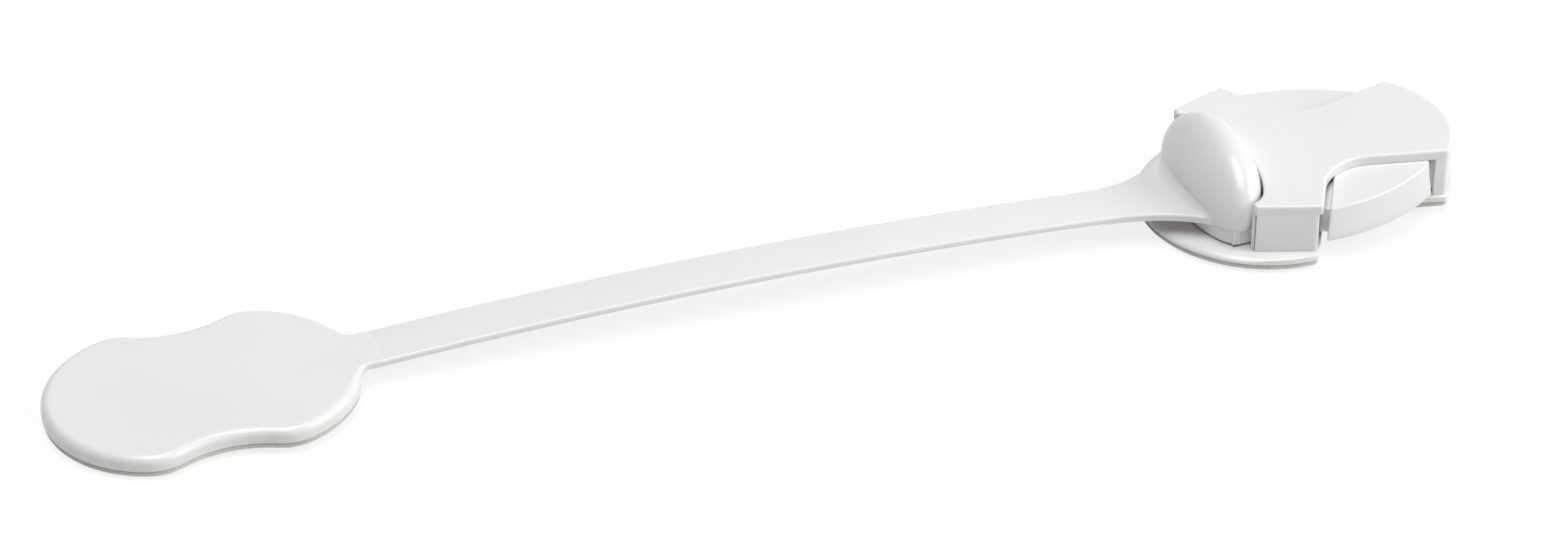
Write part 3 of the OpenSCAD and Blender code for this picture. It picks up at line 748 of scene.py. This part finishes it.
def flare_shell():
    """Flare: for each share v of its half width a line along the strap's top, then an arc that leaves it
    level and touches the dome's wall at a height that falls to the sides. The place where they touch is
    found by repeating it a few times, and the arc runs on a little into the dome."""
    v = np.sin(np.linspace(-QUARTER, QUARTER, 81))
    touch_z = STRAP_TOP_Z + FILLET_RISE * (1 - 0.6 * np.abs(v) ** 3)
    touch_x = np.full_like(v, DOME_X - DOME_W)
    for _ in range(8):
        reach = dome_half(touch_z, v * flare_half(touch_x))
        touch_x = dome_mid(touch_z) - reach
    lean = DOME_DRIFT + (DOME_W / DOME_H) ** 2 * (touch_z - DOME_Z) / reach
    size = np.hypot(1, lean)
    nx, nz = -1 / size, lean / size
    rho = (touch_z - STRAP_TOP_Z) / (1 - nz)
    x_c = touch_x + rho * nx
    turn = np.arctan2(-nx, nz) + 0.12
    u = np.linspace(0, 1, 41)[:, None]
    arc_t = np.linspace(0, 1, 21)[1:, None] * turn[None]
    x = np.vstack([BAND_X0 + (x_c - BAND_X0) * u, x_c + rho * np.sin(arc_t)])
    z = np.vstack([flare_top(x[:len(u)]), flare_top(x_c) + rho * (1 - np.cos(arc_t))])
    half = flare_half(x)
    y = half * v
    near = np.clip(1 - half * (1 - np.abs(v)) / STRAP_EDGE_R, 0, 1)
    z = z - STRAP_EDGE_R * (1 - np.sqrt(1 - near ** 2))
    side_x, side_y = x[:, -1], y[:, -1]
    foot = flare_top(side_x) - STRAP_T
    down = np.linspace(0, 1, 5)[1:]

    def wall(k):
        """Side wall under the column k of the top: straight lines down to the foot."""
        zz = z[:, k, None] * (1 - down) + foot[:, None] * down
        return np.dstack([np.repeat(x[:, k, None], 4, 1), np.repeat(y[:, k, None], 4, 1), zz])

    back = side_y[:, None] * np.linspace(1, -1, 13)[None, 1:-1]
    under = np.dstack([np.repeat(side_x[:, None], 11, 1), back, np.repeat(foot[:, None], 11, 1)])
    return skin(np.concatenate([np.dstack([x, y, z]), wall(-1), under, wall(0)[:, ::-1]], axis=1))


def neck_loop(inset, x_max=0.0):
    """The dome's plan at its skirt, drawn in by an inset and cut off straight at x_max."""
    q = np.linspace(0, TURN, 361)[:-1]
    x = dome_mid(SKIRT_Z) + (DOME_W - inset) * np.cos(q)
    y = (DOME_B - inset) * np.sin(q)
    return smooth_loop(np.column_stack([x, y])[x <= x_max], 0.2, 0.2)


def strap_head():
    """Strap head: dome and flare, the neck under the skirt, the lug that reaches into the lock and the
    cheeks that stand back beside the neck."""
    neck = slab(neck_loop(NECK_INSET, SKIRT_END_X), NECK_Z, NECK_TOP_Z, 0.2, 0.2, rim=0.05)
    lug = slab(neck_loop(LUG_INSET), LUG_Z, NECK_TOP_Z, 0.1, 0.2)
    cheek = rounded_bar(*CHEEK, NECK_Z, NECK_TOP_Z, FITTING_EDGE)
    shells = [dome_shell(), flare_shell(), neck, lug] + both_sides([cheek])
    piece("strap_head_skin", shells, strap_white,
          "strap_end", ["strap_head"], sharp=50)


# Strap band and paddle

def band_section(width, thick, r, steps=5):
    """Points (across, down) round a rounded rectangle, one quarter arc to a corner."""
    a = np.linspace(0, QUARTER, steps + 1)
    w, t = width / 2 - r, thick - r
    corners = [(w, r, a), (w, t, a + QUARTER), (-w, t, a + 2 * QUARTER), (-w, r, a + 3 * QUARTER)]
    return np.vstack([np.column_stack([cx + r * np.sin(b), cz - r * np.cos(b)]) for cx, cz, b in corners])


def strap_band():
    """Band: a rounded rectangle carried along the arch, square to it, ending in upright faces, the far one
    inside the paddle's root."""
    x = np.linspace(BAND_X0, BAND_X1 - BAND_LAP, 161)
    top = band_top(x)
    up = np.sqrt(1 + np.gradient(top, x) ** 2)
    sec = band_section(STRAP_W, STRAP_T, STRAP_EDGE_R)
    xx = np.broadcast_to(x[:, None], (len(x), len(sec)))
    yy = np.broadcast_to(sec[None, :, 0], xx.shape)
    zz = top[:, None] - sec[None, :, 1] * up[:, None]
    obj = piece("strap_band_skin", [skin(np.dstack([xx, yy, zz]))], strap_white,
                None, ["strap_band"])
    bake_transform(obj)


def paddle_half(d=0.0, root=True):
    """Half of the paddle's outline from its far end to the strap, moved inwards by d: blunt arc, corner arc,
    hollow waist arc, corner arc, blunt arc and, where asked, the hollow arc into the strap's root."""
    end_x, cy = PADDLE_L / 2, PADDLE_W / 2 - PADDLE_CORNER_R
    q = end_x - PADDLE_CORNER_R
    bx = (q * q - PADDLE_LOBE_X ** 2 - cy * cy) / (2 * (q - PADDLE_LOBE_X))
    br = end_x - bx
    ba = math.atan2(cy, PADDLE_LOBE_X - bx)
    dy = PADDLE_WAIST / 2 - cy
    hr = (PADDLE_LOBE_X ** 2 + dy * dy - PADDLE_CORNER_R ** 2) / (2 * (PADDLE_CORNER_R - dy))
    hy = PADDLE_WAIST / 2 + hr
    ha = math.atan2(hy - cy, PADDLE_LOBE_X)
    end = arc((bx, 0), br - d, 0, ba, 40)
    corner = arc((PADDLE_LOBE_X, cy), PADDLE_CORNER_R - d, ba, math.pi - ha, 40)
    hollow = arc((0, hy), hr + d, -ha, -QUARTER, 30)
    right = np.vstack([end, corner[1:], hollow[1:]])
    left = right[::-1][1:] * np.array([-1, 1])
    outline = np.vstack([right, left])[::-1]
    if root:
        side = STRAP_W / 2 + ROOT_R
        hc = np.array([bx + math.sqrt((br + ROOT_R) ** 2 - side ** 2), side])
        a0 = angle_of(np.array([bx, 0]) - hc) % TURN
        fillet = arc(hc, ROOT_R, a0, 3 * QUARTER, 14)
        keep = ~((outline[:, 0] > 0) & (np.abs(outline[:, 1]) < fillet[0, 1]))
        outline = np.vstack([outline[keep], fillet, [[BAND_X1 - PADDLE_X, STRAP_W / 2]]])
    return outline + np.array([PADDLE_X, 0])


def paddle():
    """Paddle plate: rounded upper edge all round, which tightens along the strap's root, and a root that
    thins smoothly to the band."""
    loop = smooth_loop(mirrored(paddle_half()), 0.25, 0.5)
    x = loop[:, 0]
    t = np.clip((x - ROOT_X) / ROOT_EASE, 0, 1) * (np.abs(loop[:, 1]) < ROOT_Y)
    t = t * t * (3 - 2 * t)
    tip = x > BAND_X1 - BAND_LAP
    loop[tip, 0] = np.minimum(loop[tip, 0], BAND_X1)
    r_top = PADDLE_EDGE_R * (1 - t) + STRAP_EDGE_R * t
    z0 = PADDLE_Z * (1 - t) + (PADDLE_TOP_Z - STRAP_T) * t
    shells = [slab(loop, z0, PADDLE_TOP_Z, r_top, PADDLE_FOOT_R, steps=8)]
    piece("paddle_skin", shells, strap_white, "paddle", ["paddle_plate"])


def foam_pads():
    """Foam pads: slabs with soft edges, under the lock and under the paddle."""
    lock_plan = base_loop(FOAM_INSET)
    paddle_plan = mirrored(paddle_half(FOAM_INSET, root=False))
    for body, plan, z0, z1 in (("lock", lock_plan, 0.0, FOAM_T),
                               ("paddle", paddle_plan, PADDLE_Z - FOAM_T, PADDLE_Z)):
        pad = slab(smooth_loop(plan, 0.25, 0.4), z0, z1, FOAM_EDGE_R, FOAM_EDGE_R)
        obj = piece(f"{body}_foam", [pad], foam_beige, body, [f"{body}_foam_pad"])


def dress_nodes():
    """Carried-over CAD pieces: the tongue in the buttons' plastic and the screws in steel."""
    for node, material in (("tongue", button_white), ("cover_screws", steel)):
        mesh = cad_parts[node].data
        mesh.materials.clear()
        mesh.materials.append(material)


# Stage, light and camera

def seen_ray(nodes, links):
    """Socket that is 1 for rays from the camera, from a reflection or through clear matter, else 0."""
    path = nodes.new("ShaderNodeLightPath")
    straight = nodes.new("ShaderNodeMath")
    straight.operation = "ADD"
    seen = nodes.new("ShaderNodeMath")
    seen.operation = "ADD"
    seen.use_clamp = True
    links.new(path.outputs["Is Camera Ray"], straight.inputs[0])
    links.new(path.outputs["Is Transmission Ray"], straight.inputs[1])
    links.new(straight.outputs["Value"], seen.inputs[0])
    links.new(path.outputs["Is Glossy Ray"], seen.inputs[1])
    return seen.outputs["Value"]


def stage():
    """Pale floor, a plane just under the lock's foam and the paddle's far edge, that fades into white."""
    slope = STAGE_PADDLE_Z / (STAGE_PADDLE_X - STAGE_LOCK_X)
    size = STAGE_HALF
    corners = [(-size, -size), (size, -size), (size, size), (-size, size)]
    points = [(x, y, slope * (x - STAGE_LOCK_X) - STAGE_DROP) for x, y in corners]
    mesh = bpy.data.meshes.new("floor")
    mesh.from_pydata(points, [], [(0, 1, 2, 3)])
    mat, nodes, links, shader = start_material("floor_white")
    seen = seen_ray(nodes, links)
    tone = add_node(nodes, "ShaderNodeMapRange", To_Min=STAGE_BOUNCE, To_Max=STAGE_TONE)
    glow = add_node(nodes, "ShaderNodeMapRange", To_Max=STAGE_GLOW)
    links.new(seen, tone.inputs["Value"])
    links.new(seen, glow.inputs["Value"])
    links.new(tone.outputs["Result"], shader.inputs["Base Color"])
    links.new(glow.outputs["Result"], shader.inputs["Emission Strength"])
    shader.inputs["Emission Color"].default_value = (1, 1, 1, 1)
    shader.inputs["Roughness"].default_value = 0.9
    shader.inputs["Specular IOR Level"].default_value = 0.0
    mesh.materials.append(mat)
    floor = bpy.data.objects.new("floor", mesh)
    bpy.context.scene.collection.objects.link(floor)


def put(obj, right, up, back, place):
    """Links an object to the scene with its axes and its place given as world vectors."""
    m = np.eye(4)
    m[:3, 0], m[:3, 1], m[:3, 2], m[:3, 3] = right, up, back, place
    bpy.context.scene.collection.objects.link(obj)
    obj.matrix_world = Matrix(m.tolist())


def soft_box(name, place, target, size, power, colour):
    """Rectangular area lamp at a place, turned to face a target."""
    lamp = bpy.data.lights.new(name, "AREA")
    lamp.shape = "RECTANGLE"
    lamp.size, lamp.size_y = size
    lamp.energy = power
    lamp.color = colour
    p, t = np.array(place, float), np.array(target, float)
    back = (p - t) / np.linalg.norm(p - t)
    right = np.cross([0, 0, 1.0], back)
    right /= np.linalg.norm(right)
    put(bpy.data.objects.new(name, lamp), right, np.cross(back, right), back, p)


def light():
    """Soft studio light: a long box overhead, a smaller one at the right, and a pale world that is seen as
    white."""
    world = bpy.data.worlds.new("studio")
    bpy.context.scene.world = world
    world.use_nodes = True
    nodes, links = world.node_tree.nodes, world.node_tree.links
    back = nodes["Background"]
    back.inputs["Color"].default_value = (1, 1, 1, 1)
    level = add_node(nodes, "ShaderNodeMapRange", To_Min=WORLD_LEVEL, To_Max=1.0)
    links.new(seen_ray(nodes, links), level.inputs["Value"])
    links.new(level.outputs["Result"], back.inputs["Strength"])
    for lamp in LAMPS:
        soft_box(*lamp)


def camera():
    """Camera fitted to the photograph: focal length in pixels of the 2500-wide frame, place and axes."""
    focal_px, frame_w, sensor = 7694.3, 2500.0, 36.0
    right = (0.93665077, -0.35025394, -0.00274129)
    up = (0.19682905, 0.51985518, 0.83126946)
    back = (-0.28973033, -0.77914874, 0.55586291)
    place = (-0.29908, -0.58461, 0.42236)
    cam = bpy.data.cameras.new("camera")
    cam.sensor_fit = "HORIZONTAL"
    cam.sensor_width = sensor
    cam.lens = focal_px * sensor / frame_w
    cam.clip_start = 0.01
    obj = bpy.data.objects.new("camera", cam)
    put(obj, right, up, back, place)
    bpy.context.scene.camera = obj


bpy.context.scene.view_settings.view_transform = "Standard"
lock_cover()
lock_base()
buttons()
strap_head()
strap_band()
paddle()
foam_pads()
springs()
dress_nodes()
stage()
light()
camera()
